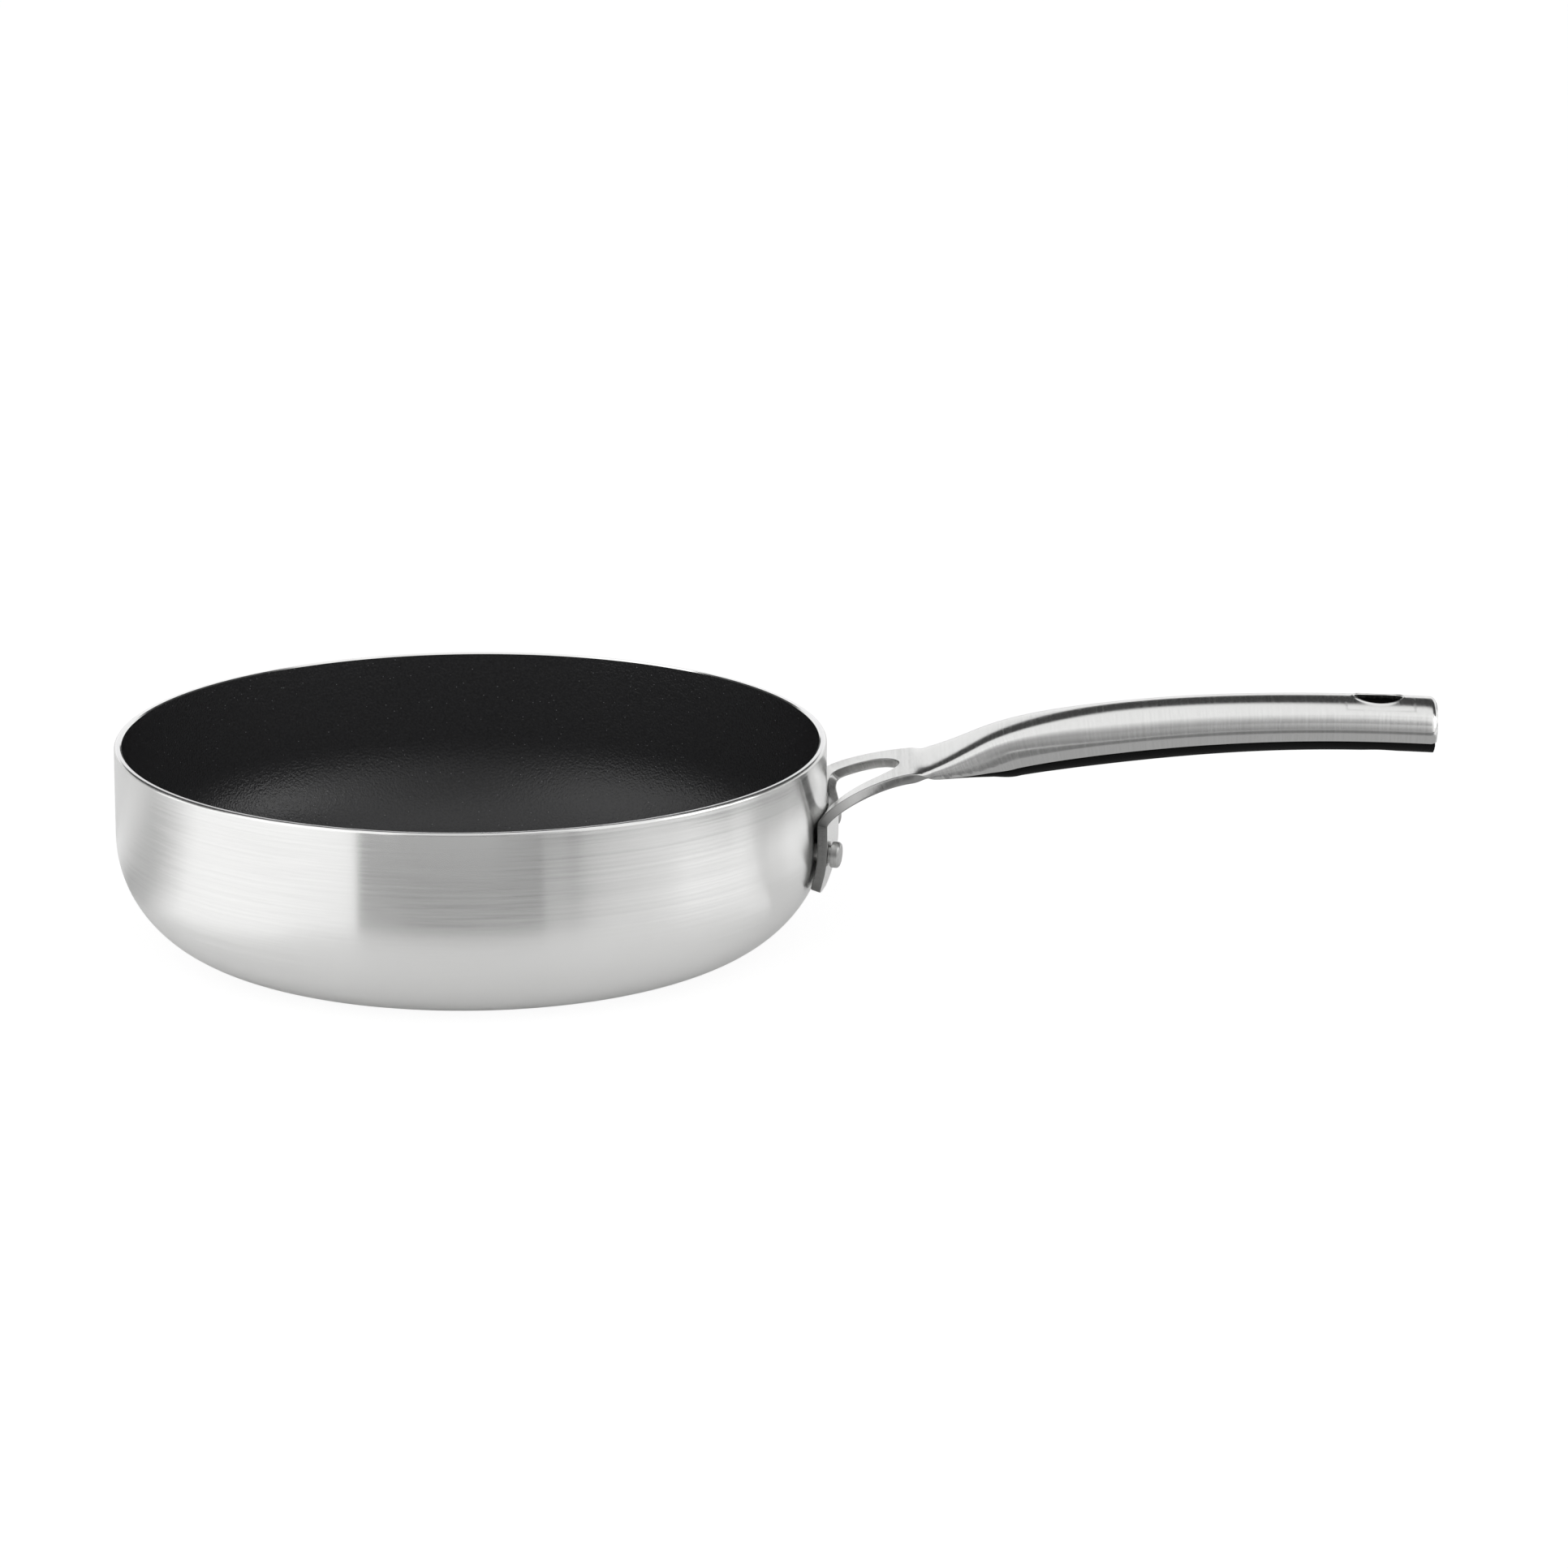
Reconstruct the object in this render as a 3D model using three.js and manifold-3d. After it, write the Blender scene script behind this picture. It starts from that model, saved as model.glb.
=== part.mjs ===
// Deep frying pan: a clad vessel with a non-stick lining and a riveted steel handle.
// Millimetres, +Z up. The origin is the middle of the flat underside, and the handle points along +X.
import * as THREE from "three";
import { mergeVertices } from "three/addons/utils/BufferGeometryUtils.js";
import Module from "manifold-3d";

const wasm = await Module();
wasm.setup();

// Vessel, measured over its outside
const bodyRadius = 120;
const bodyHeight = 69.4;
const cornerRadius = 39;
const outerPlyThickness = 0.5;
const coreThickness = 1.5;
const innerPlyThickness = 0.4;
const liningThickness = 0.1;
const rimRound = 1.1;
const bareRim = 0.4;

// Handle blank: a flange on the wall, a forked neck and a folded grip
const seatGap = 0.3;
const flangeGap = 0.7;
const sheetThickness = 3.3;
const gripWall = 1.3;
const flangeWidth = 63;
const flangeBottom = 24.5;
const flangeTop = 47;
const flangeCorner = 4;
const flareLength = 34;
const flarePower = 2.3;
const wrapFade = 0.8;
const neckWidth = 34.6;
const neckReach = 27.4;
const neckRise = 14.6;
const neckSlope = 7;
const hipReach = 49.7;
const hipRise = 23.6;
const hipSlope = 26;
const handleReach = 205.2;
const handleRise = 36.4;
const endSlope = -3;
const bendPulls = [0.19, 0.5];
const risePulls = [0.25, 0.45];
const crownPulls = [0.19, 0.44];

// Folded grip: a superellipse that rounds off towards the end, open below between its lips
const foldLength = 32;
const roundLength = 75;
const neckPower = 6;
const neckLowerShare = 0.12;
const hipWidth = 27.6;
const hipHeight = 18;
const gripBelly = 2;
const bellyPlace = 0.25;
const endWidth = 26;
const endHeight = 18.3;
const lipAngle = 26;
const endRound = 2;
const insertStart = 7;
const insertRecess = 0.4;

// Heat break between the two arms of the fork, measured along the neck
const armWidth = 8.8;
const breakSill = 0.6;
const breakLength = 28.5;
const breakSillRound = 7;
const breakTipRound = 10;

// Hang hole, its steel edge drawn down into the insert
const hangLength = 16.4;
const hangWidth = 12;
const hangFromEnd = 19.6;
const hangRound = 0.7;
const hangDepth = 1.6;

// Rivets, square to the wall and set in from the sides of the flange
const rivetEdge = 6;
const rivetHeight = 36.6;
const shankDiameter = 6;
const outerHeadDiameter = 8.8;
const outerHeadHeight = 3.2;
const innerHeadDiameter = 13;
const innerHeadHeight = 1.8;
const headRound = 1.2;

// Fineness of the faceted surfaces
const turnSegments = 56;
const cornerSegments = 6;
const rivetSegments = 16;
const sheetColumns = 14;
const hangSegments = 24;
const arcSteps = 3;
const hairline = 0.02;

// Finishes
const brushedSteel = { color: 0xc9cbcc, roughness: 0.32, metalness: 1 };
const aluminium = { color: 0xd9dadb, roughness: 0.4, metalness: 1 };
const darkLining = { color: 0x232425, roughness: 0.55, metalness: 0 };
const blackMoulding = { color: 0x161617, roughness: 0.6, metalness: 0 };

const mix = THREE.MathUtils.lerp;
const ease = THREE.MathUtils.smoothstep;
const clamp = THREE.MathUtils.clamp;
const radians = THREE.MathUtils.degToRad;
const quarterTurn = Math.PI / 2;
const wallThickness = outerPlyThickness + coreThickness + innerPlyThickness + liningThickness;
const baseRadius = bodyRadius - cornerRadius;

// Even shares from nought up to, but without, one
function shares(steps) {
  return Array.from({ length: steps }, (_, k) => k / steps);
}

// Closed geometry to a solid, and a solid to a named mesh
function toSolid(geometry) {
  geometry.deleteAttribute("normal");
  geometry.deleteAttribute("uv");
  const merged = mergeVertices(geometry, 1e-4);
  const vertProperties = new Float32Array(merged.attributes.position.array);
  const triVerts = new Uint32Array(merged.index.array);
  return new wasm.Manifold(new wasm.Mesh({ numProp: 3, vertProperties, triVerts }));
}

function toMesh(name, solid, finish) {
  const { vertProperties, triVerts } = solid.getMesh();
  const geometry = new THREE.BufferGeometry();
  geometry.setAttribute("position", new THREE.BufferAttribute(vertProperties, 3));
  geometry.setIndex(new THREE.BufferAttribute(triVerts, 1));
  geometry.computeVertexNormals();
  const mesh = new THREE.Mesh(geometry, new THREE.MeshStandardMaterial(finish));
  mesh.name = name;
  return mesh;
}

// Solid through a row of loops. A loop goes out along its upper half and back along its lower half,
// so each end closes as a strip between the halves.
function loftSolid(loops) {
  const count = loops[0].length;
  const last = (loops.length - 1) * count;
  const index = [];
  const quad = (a, b, c, d) => index.push(a, b, c, a, c, d);
  for (let start = 0; start < last; start += count) {
    for (let k = 0; k < count; k++) {
      const next = (k + 1) % count;
      quad(start + k, start + count + k, start + count + next, start + next);
    }
  }
  for (let k = 0; k < count / 2 - 1; k++) {
    const opposite = count - 1 - k;
    quad(k, k + 1, opposite - 1, opposite);
    quad(last + k, last + opposite, last + opposite - 1, last + k + 1);
  }
  const geometry = new THREE.BufferGeometry().setFromPoints(loops.flat());
  geometry.setIndex(index);
  return toSolid(geometry);
}

// Solid turned about Z from points of radius and height
function turnSolid(profile, segments) {
  const geometry = new THREE.LatheGeometry(profile, segments);
  geometry.rotateX(quarterTurn);
  return toSolid(geometry);
}

// Vessel wall at a depth below its outside face, from the axis to the rim
function rimHeight(depth) {
  const inset = clamp(rimRound - depth, 0, rimRound);
  return bodyHeight - rimRound + Math.sqrt(rimRound ** 2 - inset ** 2);
}

function wallCurve(depth, top, steps) {
  const reach = cornerRadius - depth;
  const points = [new THREE.Vector2(0, depth)];
  for (let k = 0; k <= steps; k++) {
    const angle = quarterTurn * (k / steps);
    const radius = baseRadius + reach * Math.sin(angle);
    points.push(new THREE.Vector2(radius, cornerRadius - reach * Math.cos(angle)));
  }
  points.push(new THREE.Vector2(bodyRadius - depth, top));
  return points;
}

// Layer of the vessel between two depths, its rim following the rounded edge
function layerSolid(from, to, lowered = 0, finer = 1) {
  const steps = cornerSegments * finer;
  const profile = wallCurve(from, rimHeight(from) - lowered, steps);
  if (from < rimRound) {
    const edge = Math.min(to, rimRound);
    const flat = to > edge ? [1] : [];
    for (const share of [...shares(arcSteps).slice(1), ...flat]) {
      const depth = mix(from, edge, share ** 2);
      profile.push(new THREE.Vector2(bodyRadius - depth, rimHeight(depth) - lowered));
    }
  }
  profile.push(...wallCurve(to, rimHeight(to) - lowered, steps).reverse());
  return turnSolid(profile, turnSegments * finer);
}

// Point off the wall's outside at a height, and the direction that leaves the wall there
function wallSpot(height, offset) {
  const drop = Math.max(cornerRadius - height, 0);
  const run = Math.sqrt((cornerRadius + offset) ** 2 - drop ** 2);
  const point = new THREE.Vector3(baseRadius + run, 0, height);
  if (drop === 0) {
    point.x = bodyRadius + offset;
  }
  return { point, out: new THREE.Vector3(run, 0, -drop).normalize() };
}

// Side line of the handle's upper face: up the wall, over the bend, along the neck and the crown
const flangeEnd = wallSpot(flangeTop, flangeGap);
const wallX = bodyRadius + flangeGap;
const neckPoint = new THREE.Vector3(wallX + neckReach, 0, flangeTop + neckRise);
const hipPoint = new THREE.Vector3(wallX + hipReach, 0, flangeTop + hipRise);
const gripEnd = new THREE.Vector3(bodyRadius + handleReach, 0, flangeTop + handleRise);

function heading(degrees) {
  return new THREE.Vector3(Math.cos(radians(degrees)), 0, Math.sin(radians(degrees)));
}

function bezier(start, startHeading, end, endHeading, pulls) {
  const span = start.distanceTo(end);
  const from = start.clone().addScaledVector(startHeading, pulls[0] * span);
  const to = end.clone().addScaledVector(endHeading, -pulls[1] * span);
  return new THREE.CubicBezierCurve3(start, from, to, end);
}

const wallHeading = new THREE.Vector3(-flangeEnd.out.z, 0, flangeEnd.out.x);
const bendLine = bezier(flangeEnd.point, wallHeading, neckPoint, heading(neckSlope), bendPulls);
const riseLine = bezier(neckPoint, heading(neckSlope), hipPoint, heading(hipSlope), risePulls);
const crownLine = bezier(hipPoint, heading(hipSlope), gripEnd, heading(endSlope), crownPulls);

// Section of the grip at a distance from the wall: the blank folds down from the neck to past the hip
const foldEnd = neckReach + foldLength;

// Fullness of the grip's belly from the fold to the end, greatest at its place
function swell(share) {
  return share * (1 - share) ** (1 / bellyPlace - 1);
}

function gripSection(reach) {
  const folded = ease(reach, neckReach, foldEnd);
  const toEnd = clamp((reach - foldEnd) / (handleReach - foldEnd), 0, 1);
  const straight = mix(mix(sheetThickness, hipHeight, folded), endHeight, toEnd);
  const tall = straight + gripBelly * swell(toEnd) / swell(bellyPlace);
  const lowerShare = mix(neckLowerShare, 0.5, folded);
  const square = 1 - clamp((reach - neckReach) / roundLength, 0, 1);
  return {
    wide: mix(mix(neckWidth, hipWidth, folded), endWidth, toEnd) / 2,
    upper: tall * (1 - lowerShare),
    lower: tall * lowerShare,
    wall: mix(sheetThickness, gripWall, folded),
    power: mix(2, neckPower, square ** 2),
    lip: radians(lipAngle) * folded,
  };
}

// Point of a section at an angle above its widest line, drawn in by an inset: across, and down from the crown
function sectionPoint(section, angle, inset) {
  const wide = section.wide - inset;
  const bend = 2 / section.power;
  if (angle < 0) {
    const lower = Math.max(section.lower - inset, 0);
    const down = Math.max(section.upper, inset) + lower * Math.sin(-angle);
    return { across: wide * Math.cos(angle), down };
  }
  const upper = Math.max(section.upper - inset, 0);
  const rise = Math.sin(angle) ** bend;
  return { across: wide * Math.cos(angle) ** bend, down: inset + upper * (1 - rise) };
}

// Spots along the handle: a point on the side line and the direction through the sheet.
// The flange wraps round the vessel, and the wrap fades out over the bend.
function lineSpot(line, share, wrap = 0) {
  const along = line.getTangentAt(share);
  return { point: line.getPointAt(share), out: new THREE.Vector3(along.z, 0, -along.x), wrap };
}

function place(spot, across, down) {
  const x = spot.point.x + spot.out.x * down;
  const sag = x - Math.sqrt(x ** 2 - across ** 2);
  return new THREE.Vector3(x - spot.wrap * sag, across, spot.point.z + spot.out.z * down);
}

function reachOf(spot) {
  return spot.point.x - wallX;
}

function bendSpot(share) {
  return lineSpot(bendLine, share, 1 - ease(share, 0, wrapFade));
}

const flangeHeights = [
  ...shares(arcSteps).map((share) => flangeBottom + flangeCorner * (1 - Math.cos(quarterTurn * share))),
  ...shares(4).map((share) => mix(flangeBottom + flangeCorner, flangeTop, share)),
];
const endShare = 1 - endRound / crownLine.getLength();
const endSpots = [...shares(arcSteps), 1].map((share) => {
  const angle = quarterTurn * share;
  const spot = lineSpot(crownLine, mix(endShare, 1, Math.sin(angle)));
  return { ...spot, inset: endRound * (1 - Math.cos(angle)) };
});
const riseSpots = (from) => shares(8).map((share) => lineSpot(riseLine, mix(from, 1, share)));
const crownSpots = shares(14).map((share) => lineSpot(crownLine, share * endShare));

// Half width of the flat stretch: the foot of the flange, the flare of the fork and the neck
function flatHalf(spot) {
  const drop = clamp(flangeBottom + flangeCorner - spot.point.z, 0, flangeCorner);
  const foot = flangeWidth / 2 - flangeCorner + Math.sqrt(flangeCorner ** 2 - drop ** 2);
  const flare = 1 - clamp(reachOf(spot) / flareLength, 0, 1);
  return mix(neckWidth / 2, foot, flare ** flarePower);
}

// One cross loop of the handle's sheet: its upper face out, its under face back
function sheetLoop(spot) {
  const section = gripSection(reachOf(spot));
  const half = flatHalf(spot);
  const fold = ease(reachOf(spot), neckReach, neckReach + insertStart);
  const face = (inset, flatDown) =>
    Array.from({ length: sheetColumns + 1 }, (_, k) => {
      const column = (2 * k) / sheetColumns - 1;
      const angle = mix(quarterTurn, -section.lip, Math.abs(column));
      const folded = sectionPoint(section, angle, inset);
      const across = mix(column * half, Math.sign(column) * folded.across, fold);
      return place(spot, across, mix(flatDown, folded.down, fold));
    });
  return [...face(spot.inset ?? 0, 0), ...face(section.wall, section.wall).reverse()];
}

// One cross loop of the heat break, through the sheet between the arms
function breakLoop(share) {
  const along = mix(breakSill, breakSill + breakLength, share);
  const spot = bendSpot(along / bendLine.getLength());
  const fromSill = clamp(1 - (along - breakSill) / breakSillRound, 0, 1);
  const fromTip = clamp(1 - (breakSill + breakLength - along) / breakTipRound, 0, 1);
  const half = (flatHalf(spot) - armWidth) * Math.sqrt((1 - fromSill ** 2) * (1 - fromTip ** 2)) + hairline;
  const over = sheetThickness / 2;
  return [
    place(spot, -half, -over),
    place(spot, half, -over),
    place(spot, half, sheetThickness + over),
    place(spot, -half, sheetThickness + over),
  ];
}

// One cross loop of the insert: under the fold of the shell, and flush with the shell below its lips
function insertLoop(spot) {
  const section = gripSection(reachOf(spot));
  const step = section.lip + seatGap / section.lower;
  const inset = section.wall + seatGap;
  const upper = [];
  const under = [];
  for (let k = 0; k <= sheetColumns; k++) {
    const column = (2 * k) / sheetColumns - 1;
    const side = Math.sign(column);
    const inner = sectionPoint(section, mix(quarterTurn, -step, Math.abs(column)), inset);
    const outer = sectionPoint(section, mix(-quarterTurn, -step, Math.abs(column)), 0);
    upper.push(place(spot, side * inner.across, inner.down));
    under.push(place(spot, side * outer.across, outer.down));
  }
  return [...upper, ...under.reverse()];
}

// Height of the grip's crown over a point, and an oval round the hang hole sunk below it
function crownHeight(x, y) {
  let low = 0;
  let high = 1;
  for (let k = 0; k < 30; k++) {
    const middle = (low + high) / 2;
    const isShort = crownLine.getPoint(middle).x < x;
    low = isShort ? middle : low;
    high = isShort ? high : middle;
  }
  const section = gripSection(x - wallX);
  const share = clamp(Math.abs(y) / section.wide, 0, 1);
  const down = section.upper * (1 - (1 - share ** section.power) ** (1 / section.power));
  return crownLine.getPoint(low).z - down;
}

function hangLoop(grown, depth) {
  return Array.from({ length: hangSegments }, (_, k) => {
    const angle = (2 * Math.PI * (k + 0.5)) / hangSegments;
    const x = gripEnd.x - hangFromEnd + (hangLength / 2 + grown) * Math.cos(angle);
    const y = (hangWidth / 2 + grown) * Math.sin(angle);
    return new THREE.Vector3(x, y, crownHeight(x, y) - depth);
  });
}

function hangMouth() {
  const loops = [hangLoop(hangRound * 1.5, -hangDepth)];
  for (const share of [...shares(arcSteps), 1]) {
    const angle = quarterTurn * share;
    loops.push(hangLoop(hangRound * (1 - Math.sin(angle)), hangRound * (1 - Math.cos(angle))));
  }
  loops.push(hangLoop(0, hipHeight + endHeight + gripBelly));
  return loftSolid(loops);
}

// Rivets: blanks along their own axis, with the wall's outside face at zero
function rivetPlace(side) {
  const spot = wallSpot(rivetHeight, 0);
  const turn = Math.asin((side * (flangeWidth / 2 - rivetEdge)) / spot.point.x);
  const axis = spot.out.clone().applyAxisAngle(new THREE.Vector3(0, 0, 1), turn);
  const point = spot.point.clone().applyAxisAngle(new THREE.Vector3(0, 0, 1), turn);
  const facing = new THREE.Quaternion().setFromUnitVectors(new THREE.Vector3(0, 0, 1), axis);
  return new THREE.Matrix4().compose(point, facing, new THREE.Vector3(1, 1, 1));
}

function rivetBlank(diameter, from, to, round, matrix) {
  const radius = diameter / 2;
  const profile = [new THREE.Vector2(0, from), new THREE.Vector2(radius, from)];
  for (const share of [...shares(arcSteps), 1]) {
    const angle = quarterTurn * share;
    const height = to - Math.sign(to - from) * round * (1 - Math.sin(angle));
    profile.push(new THREE.Vector2(radius - round * (1 - Math.cos(angle)), height));
  }
  profile.push(new THREE.Vector2(0, to));
  const outward = to > from ? profile : profile.reverse();
  const geometry = new THREE.LatheGeometry(outward, rivetSegments);
  geometry.rotateX(quarterTurn);
  geometry.applyMatrix4(matrix);
  return toSolid(geometry);
}

const outerSeat = flangeGap + sheetThickness + seatGap;
const innerSeat = wallThickness + seatGap;
const reserve = cornerRadius / 2;
const insideOuterSeat = layerSolid(-outerSeat, reserve, 0, 4);
const outsideInnerSeat = layerSolid(-reserve, innerSeat);

function rivetSolid(side) {
  const matrix = rivetPlace(side);
  const outerTop = outerSeat + outerHeadHeight;
  const innerTop = innerSeat + innerHeadHeight;
  const outerHead = rivetBlank(outerHeadDiameter, 0, outerTop, headRound, matrix).subtract(insideOuterSeat);
  const innerHead = rivetBlank(innerHeadDiameter, 0, -innerTop, headRound, matrix).subtract(outsideInnerSeat);
  const shankTop = outerSeat + outerHeadHeight / 2;
  const shankEnd = innerSeat + innerHeadHeight / 2;
  const shank = rivetBlank(shankDiameter, -shankEnd, shankTop, seatGap, matrix);
  return shank.add(outerHead).add(innerHead);
}

function rivetHole(side) {
  return rivetBlank(shankDiameter + 2 * seatGap, -reserve, reserve, seatGap, rivetPlace(side));
}

const rivetHoles = rivetHole(-1).add(rivetHole(1));

// Vessel
const pan = new THREE.Group();
const layers = [
  ["outer_steel_ply", outerPlyThickness, brushedSteel, 0],
  ["aluminium_core", coreThickness, aluminium, 0],
  ["inner_steel_ply", innerPlyThickness, brushedSteel, 0],
  ["nonstick_lining", liningThickness, darkLining, bareRim],
];
let depth = 0;
for (const [name, thickness, finish, lowered] of layers) {
  const layer = layerSolid(depth, depth + thickness, lowered);
  pan.add(toMesh(name, layer.subtract(rivetHoles), finish));
  depth += thickness;
}

// Handle
const sheetSpots = [
  ...flangeHeights.map((height) => ({ ...wallSpot(height, flangeGap), wrap: 1 })),
  ...shares(10).map(bendSpot),
  ...riseSpots(0),
  ...crownSpots,
  ...endSpots,
];
const breakShares = Array.from({ length: 17 }, (_, k) => (1 - Math.cos((Math.PI * k) / 16)) / 2);
const hangEdge = loftSolid([hangLoop(hangRound, gripWall / 2), hangLoop(hangRound, hangDepth)]);
const shell = loftSolid(sheetSpots.map(sheetLoop))
  .add(hangEdge)
  .subtract(hangMouth())
  .subtract(loftSolid(breakShares.map(breakLoop)))
  .subtract(rivetHoles);
pan.add(toMesh("handle_shell", shell, brushedSteel));

// Insert, cleared for the drawn edge of the hang hole
const insertFrom = insertStart / riseLine.getLength();
const insertTo = lineSpot(crownLine, 1 - insertRecess / crownLine.getLength());
const insertSpots = [...riseSpots(insertFrom), ...crownSpots, insertTo];
const edgeGrown = hangRound + seatGap;
const edgePocket = loftSolid([hangLoop(edgeGrown, -hangDepth), hangLoop(edgeGrown, hangDepth + seatGap)]);
const insert = loftSolid(insertSpots.map(insertLoop)).subtract(edgePocket).subtract(hangMouth());
pan.add(toMesh("grip_insert", insert, blackMoulding));

// Rivets
pan.add(toMesh("rivet_near", rivetSolid(-1), brushedSteel));
pan.add(toMesh("rivet_far", rivetSolid(1), brushedSteel));

export default pan;
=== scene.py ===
import math

import bmesh
import bpy
import numpy as np
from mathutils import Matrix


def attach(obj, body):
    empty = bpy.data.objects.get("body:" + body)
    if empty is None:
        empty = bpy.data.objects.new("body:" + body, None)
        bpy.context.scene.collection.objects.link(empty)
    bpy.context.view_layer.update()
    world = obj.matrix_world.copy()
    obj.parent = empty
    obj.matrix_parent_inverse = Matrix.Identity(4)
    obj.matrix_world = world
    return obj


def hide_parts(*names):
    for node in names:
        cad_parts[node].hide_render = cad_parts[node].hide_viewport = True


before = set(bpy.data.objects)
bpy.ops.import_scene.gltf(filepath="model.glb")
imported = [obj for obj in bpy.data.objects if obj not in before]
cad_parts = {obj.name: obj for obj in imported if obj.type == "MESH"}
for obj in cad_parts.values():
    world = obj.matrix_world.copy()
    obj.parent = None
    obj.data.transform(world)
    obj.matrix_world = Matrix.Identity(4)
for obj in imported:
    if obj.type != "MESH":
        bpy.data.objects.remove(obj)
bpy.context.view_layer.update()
print("frame loaded")

mm = 0.001
weld = 1e-7  # points nearer than this, in metres, become one
quarterTurn = math.pi / 2


def hexColour(code):  # sRGB hex to the linear colour that shaders take
    parts = [int(code[k:k + 2], 16) / 255 for k in (1, 3, 5)]
    return [c / 12.92 if c <= 0.04045 else ((c + 0.055) / 1.055) ** 2.4 for c in parts] + [1]


def addNode(tree, kind, inputs=None, **settings):
    node = tree.nodes.new(kind)
    for name, value in settings.items():
        setattr(node, name, value)
    for name, value in (inputs or {}).items():
        if isinstance(value, bpy.types.NodeSocket):
            tree.links.new(value, node.inputs[name])
        else:
            node.inputs[name].default_value = value
    return node


def newMaterial(name):
    material = bpy.data.materials.new(name)
    material.use_nodes = True
    material.node_tree.nodes.clear()
    return material, material.node_tree


# Stainless steel, brushed: long fine scratches that stretch every reflection across the lines.
# Real lines are about 0.1 mm apart and some microns deep; they are drawn coarser so that they show.
vesselFinish = {
    "name": "brushedStainlessSteel",
    "light": "#e7e7e6",
    "dark": "#e1e1e0",
    "edge": "#e1e1e0",
    "lineSpacing": 1.1,
    "lineLength": 120,
    "lineBreaks": 5,
    "lineDepth": 0.007,
    "roughness": (0.209, 0.271),
    "anisotropy": 1,
}
# Stainless steel, satin: short lines across the grip, so its reflections are soft but keep their shape
handleFinish = {
    "name": "satinStainlessSteel",
    "light": "#e6e6e5",
    "dark": "#dfdfde",
    "edge": "#6e6e6d",  # shear-cut edges are duller than the brushed faces; painted shade darkens them further near the wall
    "lineSpacing": 0.7,
    "lineLength": 7,
    "lineBreaks": 3,
    "lineDepth": 0.02,
    "roughness": (0.13, 0.24),
    "anisotropy": 0.45,
}
# Stainless steel, polished: the bare edge of the rim mirrors the room, a bright line round the lining
bareFinish = {
    "name": "polishedStainlessSteel",
    "light": "#f0f0ef",
    "dark": "#e6e6e5",
    "edge": "#e6e6e5",
    "lineSpacing": 0.6,
    "lineLength": 45,
    "lineBreaks": 4,
    "lineDepth": 0.004,
    "roughness": (0.1, 0.14),
    "anisotropy": 0,
}
# Stainless steel, pressed: the heads keep the dull, darker grey skin of forming
rivetFinish = {
    "name": "pressedStainlessSteel",
    "light": "#b6b6b5",
    "dark": "#a4a4a3",
    "edge": "#a4a4a3",
    "lineSpacing": 0.8,
    "lineLength": 4,
    "lineBreaks": 2,
    "lineDepth": 0.01,
    "roughness": (0.3, 0.36),
    "anisotropy": 0,
}


def brushedSteel(finish):
    material, tree = newMaterial(finish["name"])
    place = addNode(tree, "ShaderNodeTexCoord").outputs["Object"]
    run = addNode(tree, "ShaderNodeAttribute", attribute_name="run").outputs["Fac"]
    drift = addNode(tree, "ShaderNodeTexNoise", {
        "Vector": place, "Scale": 1 / (finish["lineLength"] * mm), "Detail": 1}).outputs[0]
    across = addNode(tree, "ShaderNodeMath", {
        0: run, 1: finish["lineSpacing"]}, operation="DIVIDE").outputs[0]
    along = addNode(tree, "ShaderNodeMath", {
        0: drift, 1: finish["lineBreaks"]}, operation="MULTIPLY").outputs[0]
    lines = addNode(tree, "ShaderNodeCombineXYZ", {"X": across, "Y": along}).outputs[0]
    grit = addNode(tree, "ShaderNodeTexNoise", {
        "Vector": lines, "Scale": 1, "Detail": 3, "Roughness": 0.7}, noise_dimensions="2D").outputs[0]
    scratch = addNode(tree, "ShaderNodeMapRange", {
        "Value": grit, "From Min": 0.3, "From Max": 0.7}).outputs[0]
    face = addNode(tree, "ShaderNodeMix", {
        0: scratch, 6: hexColour(finish["dark"]), 7: hexColour(finish["light"])}, data_type="RGBA").outputs[2]
    # cut edges take the edge colour through an attribute: partly a duller cut, partly painted shade
    cut = addNode(tree, "ShaderNodeAttribute", attribute_name="cut").outputs["Fac"]
    tone = addNode(tree, "ShaderNodeMix", {
        0: cut, 6: face, 7: hexColour(finish["edge"])}, data_type="RGBA").outputs[2]
    rough = addNode(tree, "ShaderNodeMapRange", {
        "Value": scratch, "To Min": finish["roughness"][0], "To Max": finish["roughness"][1]}).outputs[0]
    grain = addNode(tree, "ShaderNodeTangent", direction_type="UV_MAP", uv_map="brush").outputs[0]
    groove = addNode(tree, "ShaderNodeBump", {
        "Height": grit, "Strength": 1, "Distance": finish["lineDepth"] * mm}).outputs[0]
    steel = addNode(tree, "ShaderNodeBsdfPrincipled", {
        "Base Color": tone, "Metallic": 1, "Roughness": rough, "Normal": groove,
        "Anisotropic": finish["anisotropy"], "Tangent": grain})
    addNode(tree, "ShaderNodeOutputMaterial", {"Surface": steel.outputs[0]})
    return material


# Aluminium, turned: a paler, softer metal that shows only as a ring in the cut rim
coreFinish = {
    "name": "turnedAluminium",
    "light": "#f6f6f6",
    "dark": "#eaeaeb",
    "ringSpacing": 0.35,
    "roughness": 0.13,
}


def turnedAluminium(finish):
    material, tree = newMaterial(finish["name"])
    run = addNode(tree, "ShaderNodeAttribute", attribute_name="run").outputs["Fac"]
    ring = addNode(tree, "ShaderNodeTexNoise", {
        "W": run, "Scale": 1 / finish["ringSpacing"], "Detail": 2}, noise_dimensions="1D").outputs[0]
    tone = addNode(tree, "ShaderNodeMix", {
        0: ring, 6: hexColour(finish["dark"]), 7: hexColour(finish["light"])}, data_type="RGBA").outputs[2]
    metal = addNode(tree, "ShaderNodeBsdfPrincipled", {
        "Base Color": tone, "Metallic": 1, "Roughness": finish["roughness"]})
    addNode(tree, "ShaderNodeOutputMaterial", {"Surface": metal.outputs[0]})
    return material


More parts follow.
